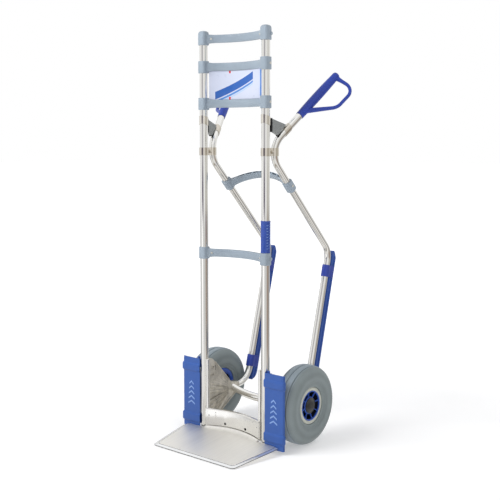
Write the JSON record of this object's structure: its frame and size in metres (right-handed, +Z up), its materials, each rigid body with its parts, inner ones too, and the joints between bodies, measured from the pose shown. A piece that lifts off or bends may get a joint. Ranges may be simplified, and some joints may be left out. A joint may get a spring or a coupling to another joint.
{
  "type": "hand truck",
  "caption": "Two-wheeled aluminium hand truck with grey bowed crossbars, closed blue handles, blue stair skids and wheel guards, grey tyres and a wide toe plate.",
  "frame": {"origin": "on the floor, at the centre of the bounding box's footprint", "axes": "+Z up along the main tubes, -Y towards the load side with the toe plate, +Y towards the user, +X across the truck to the right as seen from the toe plate side looking at the truck, along the wheel axles"},
  "size_m": [0.5722, 0.592, 1.352],
  "materials": {
    "tube_aluminium": "satin drawn tube",
    "plate_aluminium": "polished, with fine rub marks",
    "cast_aluminium": "rough casting",
    "zinc_steel": "zinc plated",
    "crossbar_grey": "satin moulded",
    "sleeve_blue": "satin gloss",
    "handle_blue": "satin moulded",
    "clip_blue": "satin moulded",
    "skid_blue": "satin moulded",
    "guard_blue": "satin moulded",
    "board_white": "printed sheet, plain graphic",
    "brace_grey": "moulded",
    "black_rubber": "matte",
    "tyre_grey": "matte",
    "rim_blue": "satin moulded",
    "cap_dark": "satin moulded"
  },
  "bodies": {
    "frame": {"right_main_tube": "tube_aluminium", "left_main_tube": "tube_aluminium", "tube_sleeve": "sleeve_blue", "top_crossbar": "crossbar_grey", "right_top_crossbar_screw": "zinc_steel", "left_top_crossbar_screw": "zinc_steel", "upper_crossbar": "crossbar_grey", "right_upper_crossbar_screw": "zinc_steel", "left_upper_crossbar_screw": "zinc_steel", "middle_crossbar": "crossbar_grey", "right_middle_crossbar_screw": "zinc_steel", "left_middle_crossbar_screw": "zinc_steel", "lower_crossbar": "crossbar_grey", "right_lower_crossbar_screw": "zinc_steel", "left_lower_crossbar_screw": "zinc_steel", "rear_arch": "crossbar_grey", "right_rear_arch_screw": "zinc_steel", "left_rear_arch_screw": "zinc_steel", "name_plate": "board_white", "right_rear_tube": "tube_aluminium", "left_rear_tube": "tube_aluminium", "right_handle": "handle_blue", "left_handle": "handle_blue", "right_tube_clamp": "zinc_steel", "left_tube_clamp": "zinc_steel", "right_clamp_bolt": "zinc_steel", "left_clamp_bolt": "zinc_steel", "right_brace_plate": "brace_grey", "left_brace_plate": "brace_grey", "right_brace_pad": "black_rubber", "left_brace_pad": "black_rubber", "right_brace_front_band": "zinc_steel", "left_brace_front_band": "zinc_steel", "right_brace_rear_band": "zinc_steel", "left_brace_rear_band": "zinc_steel", "right_skid": "skid_blue", "left_skid": "skid_blue", "right_upper_skid_clip": "clip_blue", "left_upper_skid_clip": "clip_blue", "right_lower_skid_clip": "clip_blue", "left_lower_skid_clip": "clip_blue", "right_axle_bracket": "cast_aluminium", "left_axle_bracket": "cast_aluminium", "axle_tube": "plate_aluminium", "toe_plate": "plate_aluminium", "riser_plate": "plate_aluminium", "right_wheel_guard": "guard_blue", "left_wheel_guard": "guard_blue", "right_wheel_axle": "zinc_steel", "left_wheel_axle": "zinc_steel"},
    "right_wheel": {"right_tyre": "tyre_grey", "right_rim": "rim_blue", "right_inner_bearing": "zinc_steel", "right_outer_bearing": "zinc_steel", "right_hub_cap": "cap_dark"},
    "left_wheel": {"left_tyre": "tyre_grey", "left_rim": "rim_blue", "left_inner_bearing": "zinc_steel", "left_outer_bearing": "zinc_steel", "left_hub_cap": "cap_dark"}
  },
  "joints": [
    {"name": "right_wheel_spin", "type": "hinge", "parent": "frame", "child": "right_wheel", "pos_m": [0.192, 0.0363, 0.13], "axis": [1, 0, 0], "continuous": true},
    {"name": "left_wheel_spin", "type": "hinge", "parent": "frame", "child": "left_wheel", "pos_m": [-0.192, 0.0363, 0.13], "axis": [1, 0, 0], "continuous": true}
  ]
}
